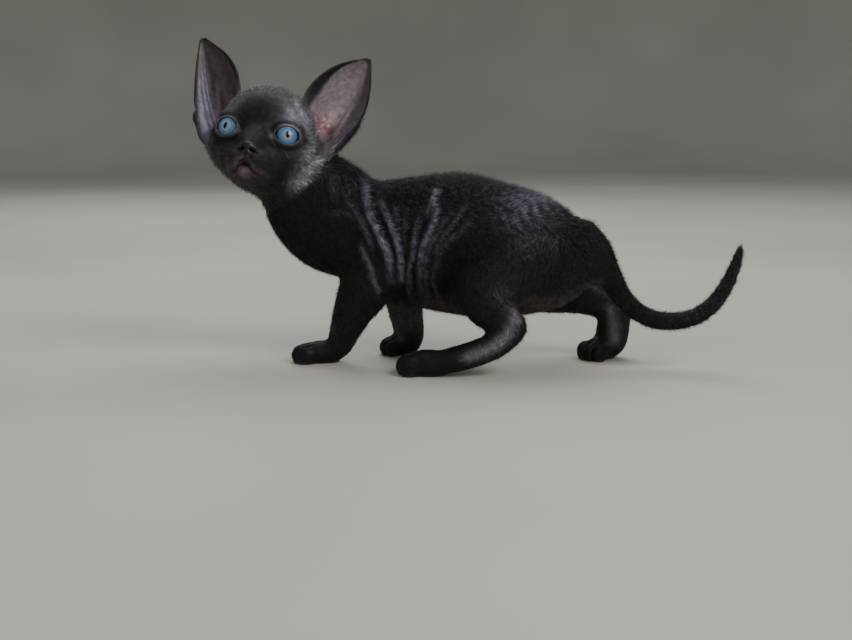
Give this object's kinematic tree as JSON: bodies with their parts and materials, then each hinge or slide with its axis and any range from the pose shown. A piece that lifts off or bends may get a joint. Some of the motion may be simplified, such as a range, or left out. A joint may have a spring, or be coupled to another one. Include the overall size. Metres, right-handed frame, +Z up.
{
  "type": "devon rex kitten",
  "caption": "Black Devon Rex kitten walking with its head turned to the side: large ears, blue eyes, short coat, wrinkled flanks and a raised tail tip.",
  "frame": {"origin": "on the floor, under the middle of the whole cat's box", "axes": "+X from the head to the tail, +Y from the cat's left side to its right, +Z up; the face looks towards -Y"},
  "size_m": [0.2638, 0.074, 0.1587],
  "materials": {
    "coat": "short, dense, waved fur, near black",
    "ear_skin": "thin, almost bare skin, grey to dusky pink, with a dark rim",
    "eye": "wet, clear cornea over a grey-blue iris"
  },
  "bodies": {
    "root": {"head": "coat", "neck": "coat", "torso": "coat", "tail": "coat", "ear_left": "ear_skin", "ear_right": "ear_skin", "eye_left": "eye", "eye_right": "eye", "leg_front_left": "coat", "leg_front_right": "coat", "leg_hind_left": "coat", "leg_hind_right": "coat"}
  },
  "joints": []
}
